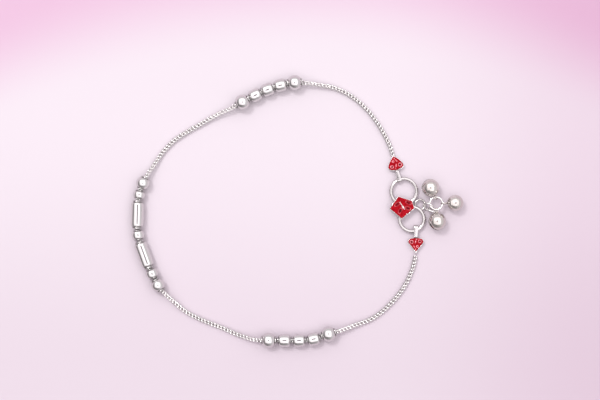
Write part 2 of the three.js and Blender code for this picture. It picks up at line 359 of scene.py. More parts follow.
def enamel_finish(name, deep, thin, metal, wave_depth):
    """Fired glass over silver, from its deep colour to its thin one."""
    finish, tree, place = new_finish(name)
    mottle = add_node(
        tree, "ShaderNodeTexNoise",
        {"Scale": per_mm(ENAMEL_MOTTLE), "Detail": 3.0}, {"Vector": place},
    )
    share = add_node(
        tree, "ShaderNodeMapRange", MOTTLE_RANGE, {"Value": mottle.outputs[0]}
    )
    tone = add_node(
        tree, "ShaderNodeMix", {"data_type": "RGBA", 6: linear(deep), 7: linear(thin)},
        {0: share.outputs["Result"]},
    )
    waves = add_node(
        tree, "ShaderNodeTexNoise",
        {"Scale": per_mm(ENAMEL_WAVE), "Detail": 1.0}, {"Vector": place},
    )
    bump = add_node(
        tree, "ShaderNodeBump", {"Strength": 1.0, "Distance": wave_depth * MM},
        {"Height": waves.outputs[0]},
    )
    shader = add_node(
        tree, "ShaderNodeBsdfPrincipled",
        {"Metallic": metal, "Roughness": 0.22, "IOR": 1.5,
         "Specular IOR Level": ENAMEL_GLOSS, "Coat Weight": ENAMEL_GLOSS,
         "Coat Roughness": 0.06},
        {"Base Color": tone.outputs[2], "Normal": bump.outputs["Normal"]},
    )
    add_node(tree, "ShaderNodeOutputMaterial", None, {"Surface": shader.outputs["BSDF"]})
    return finish


RED_ENAMEL = enamel_finish("vitreous_enamel_fired_red", "#86020F", "#A60A1A", 0.0, 0.03)
DEEP_ENAMEL = enamel_finish("vitreous_enamel_deep_in_engraving", "#4E0410", "#7C0816", 0.0, 0.02)
THIN_ENAMEL = enamel_finish("vitreous_enamel_thin_on_relief", "#D2606C", "#F0AEB4", 0.6, 0.01)
PELLET_STEEL = silver_finish("steel_shot_tumbled", "#9A9896", "#5A4A3C", 0.25, 0.4, 0.5, 0.01)
print("enamels:", RED_ENAMEL.name, DEEP_ENAMEL.name, THIN_ENAMEL.name)

# %% [markdown]
# ## The chain
#
# The chain is of small twisted wire links, each threaded through the one before. They are
# too small and too many to be CAD solids, which is why the frame has a plain tube there.
# One link is modelled and then copied at each step along the chain's line. That line is the
# frame's own, repeated here in metres and joined by the same smooth curve, a centripetal
# Catmull-Rom spline, which passes through every point.

# %% The chain's line
ROUTE = [
    (0.0290, 0.0171, 0.0008), (0.0278, 0.0206, 0.00072), (0.0248, 0.0262, 0.00072),
    (0.0211, 0.0310, 0.00072), (0.0166, 0.0349, 0.00072), (0.0115, 0.0374, 0.00095),
    (0.0066, 0.0384, 0.0015), (0.0022, 0.0389, 0.0021), (-0.0007, 0.0390, 0.00212),
    (-0.0050, 0.0382, 0.00212), (-0.0089, 0.0369, 0.00212), (-0.0126, 0.0352, 0.00212),
    (-0.0167, 0.0330, 0.00212), (-0.0196, 0.0314, 0.0021), (-0.0238, 0.0296, 0.0014),
    (-0.0282, 0.0271, 0.00085), (-0.0338, 0.0239, 0.00072), (-0.0373, 0.0215, 0.00072),
    (-0.0409, 0.0177, 0.00072), (-0.0438, 0.0132, 0.00145), (-0.0453, 0.0110, 0.00195),
    (-0.0465, 0.0087, 0.00197), (-0.0477, 0.0051, 0.00197), (-0.0482, -0.0008, 0.00197),
    (-0.0480, -0.0070, 0.00197), (-0.0461, -0.0131, 0.00197), (-0.0437, -0.0188, 0.00197),
    (-0.0416, -0.0227, 0.00197), (-0.0399, -0.0247, 0.00195), (-0.0371, -0.0273, 0.0014),
    (-0.0338, -0.0301, 0.00072), (-0.0293, -0.0325, 0.00072), (-0.0232, -0.0349, 0.00072),
    (-0.0171, -0.0374, 0.0011), (-0.0124, -0.0386, 0.00205), (-0.0088, -0.0387, 0.00212),
    (-0.0040, -0.0388, 0.00212), (0.0006, -0.0388, 0.00212), (0.0053, -0.0383, 0.00212),
    (0.0095, -0.0368, 0.00212), (0.0129, -0.0359, 0.00205), (0.0175, -0.0343, 0.00115),
    (0.0227, -0.0323, 0.00072), (0.0273, -0.0288, 0.00072), (0.0320, -0.0233, 0.00072),
    (0.0349, -0.01735, 0.00072), (0.0359, -0.0132, 0.0008),
]
STEPS_PER_SPAN = 30


def span_point(before, start, end, after, share):
    """A point on the span from start to end of a centripetal Catmull-Rom curve."""
    gaps = [math.sqrt((b - a).length) for a, b in ((before, start), (start, end), (end, after))]
    first, middle, last = gaps
    leaving = (start - before) / first - (end - before) / (first + middle)
    leaving = (leaving + (end - start) / middle) * middle
    arriving = (end - start) / middle - (after - start) / (middle + last)
    arriving = (arriving + (after - end) / last) * middle
    square, cube = share**2, share**3
    return (
        start * (2 * cube - 3 * square + 1) + leaving * (cube - 2 * square + share)
        + end * (3 * square - 2 * cube) + arriving * (cube - square)
    )


def smooth_line(route):
    """Closely spaced points along the curve, each with its distance from the start."""
    points = [Vector(point) for point in route]
    ends = [points[0] * 2 - points[1], *points, points[-1] * 2 - points[-2]]
    drawn = [
        span_point(*ends[i:i + 4], step / STEPS_PER_SPAN)
        for i in range(len(points) - 1) for step in range(STEPS_PER_SPAN)
    ] + [points[-1]]
    distances = [0.0]
    for a, b in zip(drawn, drawn[1:]):
        distances.append(distances[-1] + (b - a).length)
    return drawn, distances


line_points, line_distances = smooth_line(ROUTE)
chain_length = line_distances[-1]
print(f"chain: {chain_length / MM:.1f} mm along its line")


# %% Places on the line
def along_line(distance):
    """The point at that distance, and the direction that the line goes in there."""
    low, high = 0, len(line_points) - 2
    while low < high:
        middle = (low + high + 1) // 2
        if line_distances[middle] <= distance:
            low = middle
        else:
            high = middle - 1
    a, b = line_points[low], line_points[low + 1]
    share = (distance - line_distances[low]) / (b - a).length
    return a.lerp(b, share), (b - a).normalized()


def nearest_distance(point):
    """The distance along the line of its point that is nearest, seen from above."""
    offsets = [(Vector(point).xy - p.xy).length for p in line_points]
    return line_distances[offsets.index(min(offsets))]


# %% [markdown]
# One link. It starts as a ring of wire, is squeezed to an oval, and its four quarters are
# then moved up and down in turn, so that it is a twisted oval. Laid end into end, each link
# passes over its neighbour on one side and under it on the other, as threaded links do. The
# wire is drawn a little too thick for its twist, so that each link shows as a bright dot, and
# neighbours press about 0.13 mm into each other where a real chain's would only touch. Its
# underside is painted darker in the tarnish colour, as painted shade, which draws a fine dark
# line between the bright links. There are a few hundred, so a link is only a few dozen faces.

# %% Model one link
LINK_PITCH = 1.05
LINK_HALF_LENGTH = 0.62
LINK_HALF_WIDTH = 0.44
LINK_LIFT = 0.29
LINK_WIRE = 0.27
LINK_AROUND = 14
LINK_SIDES = 6
# painted shade on each link's underside: how far below its middle it is full, and how dark
LINK_SHADE_DEPTH = 0.5
LINK_UNDERSIDE_SHADE = 0.85
CLOSE = 0.01


def model_link():
    """A twisted oval of wire that lies along X."""
    deselect()
    mean = (LINK_HALF_LENGTH + LINK_HALF_WIDTH) / 2
    bpy.ops.mesh.primitive_torus_add(
        major_radius=mean, minor_radius=LINK_WIRE,
        major_segments=LINK_AROUND, minor_segments=LINK_SIDES,
    )
    link = name_piece("chain_link")
    bpy.ops.object.mode_set(mode="EDIT")
    for step in range(LINK_AROUND):
        angle = 2 * math.pi * step / LINK_AROUND
        outward = Vector((math.cos(angle), math.sin(angle), 0))
        across = Vector((-math.sin(angle), math.cos(angle), 0))
        pick(link, lambda co: abs(co.dot(across)) < CLOSE and co.dot(outward) > 0)
        bpy.ops.transform.translate(value=(
            (LINK_HALF_LENGTH - mean) * outward.x,
            (LINK_HALF_WIDTH - mean) * outward.y,
            LINK_LIFT * math.sin(2 * angle),
        ))
    bpy.ops.object.mode_set(mode="OBJECT")
    return link


link = model_link()
# painted shade: the link darkens from its middle down to its underside
mark_tarnish_and_shade(link, lambda co: LINK_UNDERSIDE_SHADE * min(1.0, max(0.0, -co.z / LINK_SHADE_DEPTH)))
print("link:", len(link.data.polygons), "faces, box", [round(v, 2) for v in mesh_box(link)[1]])

# %% Lay the links along the line
CHAIN_NODES = ["chain_top_right", "chain_top_left", "chain_bottom_left", "chain_bottom_right"]
LINK_LEAN = math.radians(16)
LINK_SWAY = math.radians(6)
LINK_SEED = 11
UP = Vector((0, 0, 1))


def link_matrix(distance, roll):
    """Where the link at that distance lies: along the line, rolled a little about it."""
    point, forward = along_line(distance)
    side = UP.cross(forward).normalized()
    turned = Matrix((forward, side, forward.cross(side))).transposed()
    roll_matrix = Matrix.Rotation(roll, 3, "X")
    return Matrix.Translation(point) @ (turned @ roll_matrix).to_4x4() @ Matrix.Scale(MM, 4)


def chain_ends():
    """The distance at which each stretch of chain starts and ends."""
    middles = ["bead_top_3", "bead_side_4", "bead_bottom_3"]
    centres = [sum(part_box(node), Vector()) / 2 for node in middles]
    return [0.0, *[nearest_distance(centre) for centre in centres], chain_length]


def lay_links(name, start, end):
    """Copies the link at every pitch from start to end, and joins the copies."""
    count = math.floor((end - start) / (LINK_PITCH * MM))
    pitch = (end - start) / count
    links = []
    for i in range(count):
        twin = copy_of(link, "link_copy")
        roll = LINK_LEAN + random.uniform(-LINK_SWAY, LINK_SWAY)
        twin.data.transform(link_matrix(start + (i + 0.5) * pitch, roll))
        links.append(twin)
    return join(links, name)


random.seed(LINK_SEED)
ends = chain_ends()
chains = []
for node, start, end in zip(CHAIN_NODES, ends, ends[1:]):
    chain = lay_links(node.replace("chain", "links"), start, end)
    chains.append(show(chain, WIRE_SILVER, "chain_silver", node))
bpy.data.objects.remove(link)
report("chain", chains)

# %% [markdown]
# ## The beads
#
# Hollow silver beads are spun or pressed from thin sheet: a body, a bore, and a small
# collar soldered on each end. All of them are round, so each kind is drawn as a profile and
# turned. A ring of points is extruded from each point of the profile to the next and
# resized to its radius, as a lathe would take it, and the last ring meets the first, so
# that the wall is closed inside as well as outside.

# %% Turn a profile
def turn_profile(name, profile, around, closed=True):
    """A turned solid. The profile is (radius, height) pairs in order, round the wall if closed."""
    deselect()
    bpy.ops.mesh.primitive_circle_add(vertices=around, radius=profile[0][0])
    piece = name_piece(name)
    bpy.ops.object.mode_set(mode="EDIT")
    bpy.ops.mesh.select_all(action="SELECT")
    bpy.ops.transform.translate(value=(0, 0, profile[0][1]))
    rest = profile[1:] + profile[:1] if closed else profile[1:]
    for (radius, height), (next_radius, next_height) in zip(profile, rest):
        bpy.ops.mesh.extrude_region_move(
            TRANSFORM_OT_translate={"value": (0, 0, next_height - height)}
        )
        ratio = next_radius / radius
        bpy.ops.transform.resize(value=(ratio, ratio, 1), center_override=(0, 0, next_height))
    return close_up(piece)


def arc(middle_radius, middle_height, radius, start, end, steps):
    """Profile points round an arc, with angles in degrees from the outward direction."""
    angles = [math.radians(start + (end - start) * i / steps) for i in range(steps + 1)]
    return [(middle_radius + radius * math.cos(a), middle_height + radius * math.sin(a))
            for a in angles]


# %% Bead profiles
BORE = 1.0
WALL = 0.3
BEAD_AROUND = 48
BALL_ARCS = 18
BALLS = {
    # radius, collar radius, collar length
    "large_round": (2.3, 1.3, 0.4),
    "small_round": (2.05, 1.3, 0.4),
}
BARRELS = {
    # radius, length, squareness of the shoulders, collar radius, collar length
    "barrel": (1.95, 3.4, 3.4, 1.35, 0.25),
    "oblate": (1.8, 2.1, 2.6, 1.35, 0.25),
    "drum": (1.9, 2.5, 2.6, 1.35, 0.25),
    "tube": (1.95, 7.3, 18.0, 1.5, 0.65),
}
RIDGE_PITCH = 0.3
GROOVE = 0.22
GROOVE_FOOT = 0.03
# a ridge's radius and the height of its middle, as shares of the ridge's length
LIP_RADIUS = 0.36
LIP_MIDDLE = 0.57
LIP_TURN = 80
LIP_STEPS = 6
SHOULDER_STEPS = 14
SWELL = 0.6
INNER_STRAIGHT = 0.9


def collar(radius, start, length):
    """A collar's profile: rolled ridges with a deep groove under each."""
    ridges = max(1, round(length / RIDGE_PITCH))
    step = length / ridges
    lip = step * LIP_RADIUS
    points = []
    for i in range(ridges):
        foot = start + i * step
        points.append((radius - GROOVE, foot + GROOVE_FOOT))
        points += arc(
            radius - lip, foot + LIP_MIDDLE * step, lip, -LIP_TURN, LIP_TURN, LIP_STEPS
        )
    return points


def mirrored(profile):
    """The same profile on the other end, in the order that closes the wall."""
    return [(radius, -height) for radius, height in reversed(profile)]


def ball_profile(radius, collar_radius, collar_length):
    """A ball that opens at its two collars."""
    edge = math.degrees(math.acos(collar_radius / radius))
    outer = arc(0, 0, radius, -edge, edge, BALL_ARCS)
    top = collar(collar_radius, outer[-1][1], collar_length)
    inner_edge = math.degrees(math.acos(BORE / (radius - WALL)))
    inner = arc(0, 0, radius - WALL, inner_edge, -inner_edge, BALL_ARCS // 2)
    tip = outer[-1][1] + collar_length
    return [*mirrored(top), *outer, *top, (BORE, tip), *inner, (BORE, -tip)]


def barrel_profile(radius, length, squareness, collar_radius, collar_length):
    """A body with a slight swell and round shoulders between its two collars."""
    half = length / 2
    shares = [math.sin(math.pi / 2 * i / SHOULDER_STEPS) for i in range(SHOULDER_STEPS + 1)]
    upper = [
        (collar_radius + (radius - collar_radius) * (1 - share**squareness) ** SWELL, half * share)
        for share in shares
    ]
    top = collar(collar_radius, half, collar_length)
    inner_half, inner_radius = half - WALL, radius - 2 * WALL
    straight = inner_half * INNER_STRAIGHT
    inner = [(BORE, inner_half), (inner_radius, straight),
             (inner_radius, -straight), (BORE, -inner_half)]
    tip = half + collar_length
    return [*mirrored(top), *mirrored(upper)[:-1], *upper, *top, (BORE, tip), *inner, (BORE, -tip)]


# %% Model each kind of bead once
NECK_TARNISH_AND_SHADE = 0.5
NECK_REACH = 0.25


def bead_tarnish_and_shade(half_length, collar_radius, collar_length):
    """Tarnish, with painted shade, that gathers in a collar's grooves, beside it and inside the
    bore.
    """
    neck = half_length - collar_length

    def amount(co):
        sunk = 1.0 if co.xy.length < collar_radius - GROOVE / 2 else 0.0
        return max(NECK_TARNISH_AND_SHADE * fade(abs(co.z) - neck, NECK_REACH), sunk)

    return amount


kinds = {}
for kind, sizes in {**BALLS, **BARRELS}.items():
    profile = (ball_profile if kind in BALLS else barrel_profile)(*sizes)
    bead = turn_profile(kind, profile, BEAD_AROUND)
    tallest = mesh_box(bead)[1].z
    # tarnish, and painted shade, in each collar's grooves, beside it and in the bore
    mark_tarnish_and_shade(bead, bead_tarnish_and_shade(tallest, *sizes[-2:]))
    kinds[kind] = bead
    print(kind, "length", round(2 * tallest, 2), "mm")

# %% String the beads
GROUPS = {
    "top": ["large_round", "barrel", "barrel", "barrel", "large_round"],
    "side": ["small_round", "oblate", "tube", "drum", "tube", "drum", "small_round"],
    "bottom": ["large_round", "barrel", "barrel", "barrel", "large_round"],
}
beads = []
for group, members in GROUPS.items():
    for number, kind in enumerate(members, 1):
        node = f"bead_{group}_{number}"
        centre = sum(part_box(node), Vector()) / 2
        _, forward = along_line(nearest_distance(centre))
        turn = UP.rotation_difference(Vector((forward.x, forward.y, 0))).to_matrix()
        bead = seat(copy_of(kinds[kind], f"{group}_bead_{number}"), node, turn)
        beads.append(show(bead, BEAD_SILVER, "bead_silver", node))
for kind in kinds.values():
    bpy.data.objects.remove(kind)
report("beads", beads)

# %% [markdown]
# ## The medallion
#
# Two rings of round wire stand side by side, with a five-sided tray soldered across them
# and a small eye in the notch between them. Rings are tori. The tray is a filled outline
# that is extruded, inset for its rim and pushed down for the enamel. Boolean unions make
# one solid of them, as the solder does.

# %% Draw an outline and raise it into a tray
def draw_outline(name, corners):
    """A filled outline: a disc with one point for each corner, each moved to its place."""
    deselect()
    bpy.ops.mesh.primitive_circle_add(vertices=len(corners), radius=1, fill_type="NGON")
    piece = name_piece(name)
    bpy.ops.object.mode_set(mode="EDIT")
    starts = [vertex.co.copy() for vertex in piece.data.vertices]
    for number, (x, y) in enumerate(corners):
        bpy.ops.mesh.select_all(action="DESELECT")
        bpy.ops.object.mode_set(mode="OBJECT")
        piece.data.vertices[number].select = True
        bpy.ops.object.mode_set(mode="EDIT")
        move = Vector((x, y, 0)) - starts[number]
        bpy.ops.transform.translate(value=move)
    bpy.ops.object.mode_set(mode="OBJECT")
    return piece


def raise_slab(piece, bottom, top):
    """Extrudes a flat outline into a slab between two heights."""
    make_active(piece)
    bpy.ops.object.mode_set(mode="EDIT")
    bpy.ops.mesh.select_all(action="SELECT")
    bpy.ops.transform.translate(value=(0, 0, bottom))
    bpy.ops.mesh.extrude_region_move(TRANSFORM_OT_translate={"value": (0, 0, top - bottom)})
    bpy.ops.object.mode_set(mode="OBJECT")
    return close_up(piece)


def sink_floor(piece, rim, depth):
    """Insets the top face for a rim and pushes the middle down."""
    top = mesh_box(piece)[1].z
    make_active(piece)
    bpy.ops.object.mode_set(mode="EDIT")
    bpy.ops.mesh.select_mode(type="FACE")
    pick(piece, lambda middle: middle.z > top - CLOSE, "polygons")
    bpy.ops.mesh.inset(thickness=rim, depth=0)
    bpy.ops.mesh.extrude_region_move(TRANSFORM_OT_translate={"value": (0, 0, -depth)})
    bpy.ops.mesh.select_mode(type="VERT")
    bpy.ops.object.mode_set(mode="OBJECT")
    return close_up(piece)


def wire_ring(name, radius, wire, around=96, sides=16):
    """A ring of round wire, flat on the origin."""
    deselect()
    bpy.ops.mesh.primitive_torus_add(
        major_radius=radius, minor_radius=wire, major_segments=around, minor_segments=sides,
    )
    return name_piece(name)


def shift(piece, x, y, z):
    """Moves a piece's mesh in millimetres, and leaves its object at the origin."""
    piece.data.transform(Matrix.Translation((x, y, z)))
    return piece


def solder(first, others, name):
    """Boolean unions, so that touching pieces become one solid."""
    for other in others:
        apply_modifier(first, "BOOLEAN", operation="UNION", solver="EXACT", object=other)
        bpy.data.objects.remove(other)
    make_active(first)
    return name_piece(name)


# %% Model the medallion's frame
RING_WIRE = 0.52
RING_HEIGHT = 1.15
# x, y, radius
UPPER_RING = (32.3, 6.2, 3.85)
LOWER_RING = (34.7, -2.15, 3.7)
EYE = (37.25, 2.2, 1.53)
EYE_WIRE = 0.3
EYE_FACES = (64, 12)
PLATE_CORNERS = [(30.5, 4.75), (34.75, 3.35), (35.5, 1.05), (31.55, -2.3), (27.8, 0.95)]
PLATE_BOTTOM = 1.45
PLATE_TOP = 2.6
PLATE_RIM = 0.17
PLATE_BEVEL = 0.04
PLATE_RECESS = 0.45
SEAM_DARKENING = 0.5
SEAM_REACH = 0.25

plate = draw_outline("plate", PLATE_CORNERS[::-1])
raise_slab(plate, PLATE_BOTTOM, PLATE_TOP)
sink_floor(plate, PLATE_RIM, PLATE_RECESS)
apply_modifier(plate, "BEVEL", width=PLATE_BEVEL, segments=2, limit_method="ANGLE")
rings = [
    shift(wire_ring("ring", radius, RING_WIRE), x, y, RING_HEIGHT)
    for x, y, radius in (UPPER_RING, LOWER_RING)
]
eye_x, eye_y, eye_radius = EYE
eye = shift(wire_ring("eye", eye_radius, EYE_WIRE, *EYE_FACES), eye_x, eye_y, RING_HEIGHT)
medallion = solder(plate, [*rings, eye], "medallion_frame")
# darker round the foot of the plate, where it sits on the rings
mark_tarnish_and_shade(medallion, lambda co: SEAM_DARKENING * fade(co.z - PLATE_BOTTOM, SEAM_REACH))
seat(medallion, "medallion")
show(medallion, CAST_SILVER, "cast_silver", "medallion")
weigh_normals([medallion])
report("medallion", [medallion])

# %% [markdown]
# The enamel fills the tray and stands a hair proud of its rim. The tray was held at a slant
# in the kiln, so the glass drifted a little to one side and more of the rim shows below. A
# flower is chased into the plate under it: four petals, each a pale outline where the glass
# is thin round a dark pool where it is deep, and a bright stem of bare silver with a bud.

# %% Pour the medallion's enamel
GLASS_GAP = 0.01
GLASS_PROUD = 0.02
GLASS_BEVEL = 0.06
GLASS_DRIFT = Vector((0, 0.08, 0))


def pour_enamel(name, corners, rim, floor, top):
    """Glass that fills a tray: the outline, drawn in by the rim and the gap."""
    glass = draw_outline(name, corners)
    make_active(glass)
    bpy.ops.object.mode_set(mode="EDIT")
    bpy.ops.mesh.select_mode(type="FACE")
    bpy.ops.mesh.select_all(action="SELECT")
    bpy.ops.mesh.inset(thickness=rim + GLASS_GAP, depth=0)
    bpy.ops.mesh.select_all(action="INVERT")
    bpy.ops.mesh.delete(type="FACE")
    bpy.ops.mesh.select_mode(type="VERT")
    bpy.ops.object.mode_set(mode="OBJECT")
    close_up(glass)
    raise_slab(glass, floor + GLASS_GAP, top + GLASS_PROUD)
    return apply_modifier(glass, "BEVEL", width=GLASS_BEVEL, segments=2, limit_method="ANGLE")


medallion_glass = pour_enamel(
    "medallion_glass", PLATE_CORNERS[::-1], PLATE_RIM, PLATE_TOP - PLATE_RECESS, PLATE_TOP
)
seat(medallion_glass, "medallion_enamel")
medallion_glass.data.transform(Matrix.Translation(GLASS_DRIFT * MM))
show(medallion_glass, RED_ENAMEL, "red_enamel", "medallion_enamel")
weigh_normals([medallion_glass])
report("medallion enamel", [medallion_glass])


# %% Raised lines for the reliefs
RELIEF_FACES = (32, 8)


def relief_ring(x, y, radius, wire, height, squash=1.0, turn=0.0):
    """A fine oval line that stands half out of the enamel."""
    ring = wire_ring("relief", radius, wire, *RELIEF_FACES)
    ring.data.transform(Matrix.Rotation(turn, 4, "Z") @ Matrix.Diagonal((1, squash, 1, 1)))
    return shift(ring, x, y, height)


def relief_drop(x, y, length, width, rise, height, turn=0.0):
    """A small raised drop or ridge: a ball drawn out and flattened."""
    deselect()
    bpy.ops.mesh.primitive_uv_sphere_add(segments=20, ring_count=10, radius=1)
    drop = name_piece("relief")
    size = Matrix.Diagonal((length / 2, width / 2, rise, 1))
    drop.data.transform(Matrix.Rotation(turn, 4, "Z") @ size)
    return shift(drop, x, y, height)


# %% Chase the flower
# x, y, turn in degrees
PETALS = [(30.2, 2.3, 35), (33.6, 2.8, -20), (33.4, 1.1, -20), (31.1, 0.35, 60)]
PETAL_LENGTH = 0.92
PETAL_SQUASH = 0.52
PETAL_WIRE = 0.08
PETAL_POOL = 1.8 * PETAL_LENGTH
POOL_RISE = 0.06
FLOWER_SUNK = 0.03
FLOWER_HEIGHT = PLATE_TOP + GLASS_PROUD - FLOWER_SUNK
STEM_TURN = math.radians(-57)
# x, y, length, width and rise of the stem and of the bud on it
STEM = (31.7, 1.85, 4.0, 0.27, 0.07)
BUD = (31.95, 1.45, 1.1, 0.6, 0.09)

petals = [
    relief_ring(x, y, PETAL_LENGTH, PETAL_WIRE, FLOWER_HEIGHT, PETAL_SQUASH, math.radians(turn))
    for x, y, turn in PETALS
]
petal_lines = join(petals, "medallion_petals")
pools = [
    relief_drop(x, y, PETAL_POOL, PETAL_POOL * PETAL_SQUASH, POOL_RISE, FLOWER_HEIGHT,
                math.radians(turn))
    for x, y, turn in PETALS
]
petal_pools = join(pools, "medallion_petal_pools")
stem, bud = (relief_drop(*sizes, FLOWER_HEIGHT, STEM_TURN) for sizes in (STEM, BUD))
flower = join([stem, bud], "medallion_flower")
mark_tarnish_and_shade(flower, lambda co: 0.0)
for piece, finish, slot in (
    (petal_lines, THIN_ENAMEL, "red_enamel"), (petal_pools, DEEP_ENAMEL, "red_enamel"),
    (flower, CAST_SILVER, "cast_silver"),
):
    piece.data.transform(Matrix.Scale(MM, 4))
    show(piece, finish, slot)
report("flower", [petal_lines, petal_pools, flower])

# %% [markdown]
# ## The hearts
#
# Each heart is a small tray with a bail, a flat strip bent into a loop round the medallion's
# ring, and a short tube on its tip that holds the end of the chain. The outline is drawn
# once, tip down, and the whole heart is then turned to its side.

# %% The heart's outline
HEART = {
    "half_width": 2.4, "tip": -2.5, "waist": 0.45, "shoulder": 1.75, "shoulder_x": 1.25,
    "crown": 2.0, "bulge": 0.05, "pull": 1.5, "height": 1.4, "rim": 0.12, "recess": 0.45,
    "bevel": 0.03,
}
BAIL = {
    "width": 1.2, "metal": 0.25, "length": 3.75, "overlap": 0.2, "bottom": 0.2,
    "inner": 0.66, "bevel": 0.11,
}
BAIL_TAPER = (0.8, 1.1)
TAB = {"radius": 0.5, "reach": 0.25, "height": 1.2, "bevel": 0.1}
HEARTS = {
    # side: turn in degrees, and how far its sides swell out of the straight
    "upper": (194, 0.5),
    "lower": (0, 0.1),
}
CURVE_STEPS = 6


def bend(start, pull, end, steps):
    """Points on a curve from start to end that is pulled towards a third point."""
    shares = [i / steps for i in range(1, steps + 1)]
    return [
        tuple((1 - s)**2 * a + 2 * s * (1 - s) * b + s**2 * c
              for a, b, c in zip(start, pull, end))
        for s in shares
    ]


def heart_outline(belly):
    """Sides up from the tip, round shoulders and a low crown."""
    tip, waist = (0, HEART["tip"]), (HEART["half_width"], HEART["waist"])
    side_pull = (waist[0] / 2 + belly, (tip[1] + waist[1]) / 2 - belly / 2)
    shoulder = (HEART["shoulder_x"], HEART["shoulder"])
    shoulder_pull = (HEART["half_width"] + HEART["bulge"], HEART["pull"])
    right = [
        *bend(tip, side_pull, waist, CURVE_STEPS),
        *bend(waist, shoulder_pull, shoulder, CURVE_STEPS),
    ]
    return [tip, *right, (0, HEART["crown"]), *[(-x, y) for x, y in reversed(right)]]


for side, (_, belly) in HEARTS.items():
    print(side, "heart outline:", len(heart_outline(belly)), "points")


# %% Model the bail, the tab and the tray
def model_bail():
    """A strip bent into a long loop: a circle with its near half drawn out, then widened."""
    outer = BAIL["inner"] + BAIL["metal"]
    reach = BAIL["length"] - outer + BAIL["overlap"] - BAIL["inner"]
    deselect()
    bpy.ops.mesh.primitive_circle_add(vertices=32, radius=outer, rotation=(0, math.pi / 2, 0))
    bail = name_piece("bail")
    bpy.ops.object.transform_apply(rotation=True)
    bpy.ops.object.mode_set(mode="EDIT")
    pick(bail, lambda co: co.y < -CLOSE)
    bpy.ops.transform.translate(value=(0, -reach, 0))
    bpy.ops.mesh.select_all(action="SELECT")
    bpy.ops.transform.translate(value=(-BAIL["width"] / 2, 0, 0))
    bpy.ops.mesh.extrude_region_move(TRANSFORM_OT_translate={"value": (BAIL["width"], 0, 0)})
    bpy.ops.mesh.select_all(action="SELECT")
    bpy.ops.mesh.normals_make_consistent(inside=False)
    for near, ratio in zip((True, False), BAIL_TAPER):
        pick(bail, lambda co: (co.y < -CLOSE) == near)
        bpy.ops.transform.resize(value=(ratio, 1, 1), center_override=(0, 0, 0))
    bpy.ops.object.mode_set(mode="OBJECT")
    apply_modifier(bail, "SOLIDIFY", thickness=BAIL["metal"], offset=-1)
    apply_modifier(bail, "BEVEL", width=BAIL["bevel"], segments=3, limit_method="ANGLE")
    return shift(bail, 0, HEART["crown"] + BAIL["length"] - outer, BAIL["bottom"] + outer)


def model_tab():
    """A short tube stub under the tip, where the chain ends."""
    deselect()
    bpy.ops.mesh.primitive_cylinder_add(vertices=24, radius=TAB["radius"], depth=TAB["height"])
    tab = name_piece("tab")
    apply_modifier(tab, "BEVEL", width=TAB["bevel"], segments=2, limit_method="ANGLE")
    return tab


def model_tray(name, belly):
    """A heart's tray: its outline raised, with a rim round a sunk floor."""
    tray = raise_slab(draw_outline(name, heart_outline(belly)), 0, HEART["height"])
    sink_floor(tray, HEART["rim"], HEART["recess"])
    apply_modifier(tray, "BEVEL", width=HEART["bevel"], segments=2, limit_method="ANGLE")
    return tray


print("bail length:", BAIL["length"], "mm")

# %% Put the hearts together
# x, y, radius
HEART_RINGS = [(-1.3, 0.55, 0.48), (1.2, 0.7, 0.42), (0.5, -0.85, 0.3)]
HEART_DROPS = [
    # x, y, length, width, turn
    (-0.1, 0.55, 1.0, 0.4, 75),
    (-0.55, -0.85, 0.85, 0.4, 120),
    (-0.05, -1.6, 0.45, 0.35, 90),
    (0.25, 1.3, 0.5, 0.3, 45),
]
RELIEF_WIRE = 0.13
SCROLL_RISE = 0.12
SCROLL_HEIGHT = HEART["height"] + GLASS_PROUD
BAIL_DARKENING = 0.8
BAIL_REACH = 0.3


def model_scrolls(side):
    """The rings and drops that stand in the heart's enamel, and the deep pools in the rings."""
    rings = [relief_ring(x, y, radius, RELIEF_WIRE, SCROLL_HEIGHT) for x, y, radius in HEART_RINGS]
    drops = [
        relief_drop(x, y, length, width, SCROLL_RISE, SCROLL_HEIGHT, math.radians(turn))
        for x, y, length, width, turn in HEART_DROPS
    ]
    pools = [
        relief_drop(x, y, 2 * radius, 2 * radius, POOL_RISE, SCROLL_HEIGHT)
        for x, y, radius in HEART_RINGS
    ]
    return join([*rings, *drops], f"{side}_heart_scrolls"), join(pools, f"{side}_heart_pools")


def heart_place(tray, turn, node):
    """Where the heart's own origin goes, so that the turned tray's box meets the node's."""
    corners = [turn @ vertex.co * MM for vertex in tray.data.vertices]
    low = Vector([min(corner[i] for corner in corners) for i in range(3)])
    high = Vector([max(corner[i] for corner in corners) for i in range(3)])
    return (sum(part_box(node), Vector()) - low - high) / 2


trays, glasses, reliefs = [], [], []
for side, (degrees, belly) in HEARTS.items():
    node = f"heart_{side}"
    turn = Matrix.Rotation(math.radians(degrees), 3, "Z")
    tab = shift(model_tab(), 0, HEART["tip"] - TAB["reach"] + TAB["radius"], TAB["height"] / 2)
    tray = solder(model_tray("tray", belly), [model_bail(), tab], f"{side}_heart_tray")
    # darker where the bail meets the heart's crown
    mark_tarnish_and_shade(tray, lambda co: BAIL_DARKENING * fade(co.y - HEART["crown"], BAIL_REACH))
    glass = pour_enamel(
        f"{side}_heart_glass", heart_outline(belly), HEART["rim"],
        HEART["height"] - HEART["recess"], HEART["height"],
    )
    scroll, pool = model_scrolls(side)
    place = heart_place(tray, turn, node)
    for piece in (tray, glass, scroll, pool):
        drift = Vector() if piece is tray else GLASS_DRIFT * MM
        settle = Matrix.Translation(place + drift) @ turn.to_4x4() @ Matrix.Scale(MM, 4)
        piece.data.transform(settle)
    trays.append(show(tray, CAST_SILVER, "cast_silver", node))
    glasses.append(show(glass, RED_ENAMEL, "red_enamel", f"{node}_enamel"))
    reliefs.append(show(scroll, THIN_ENAMEL, "red_enamel"))
    reliefs.append(show(pool, DEEP_ENAMEL, "red_enamel"))
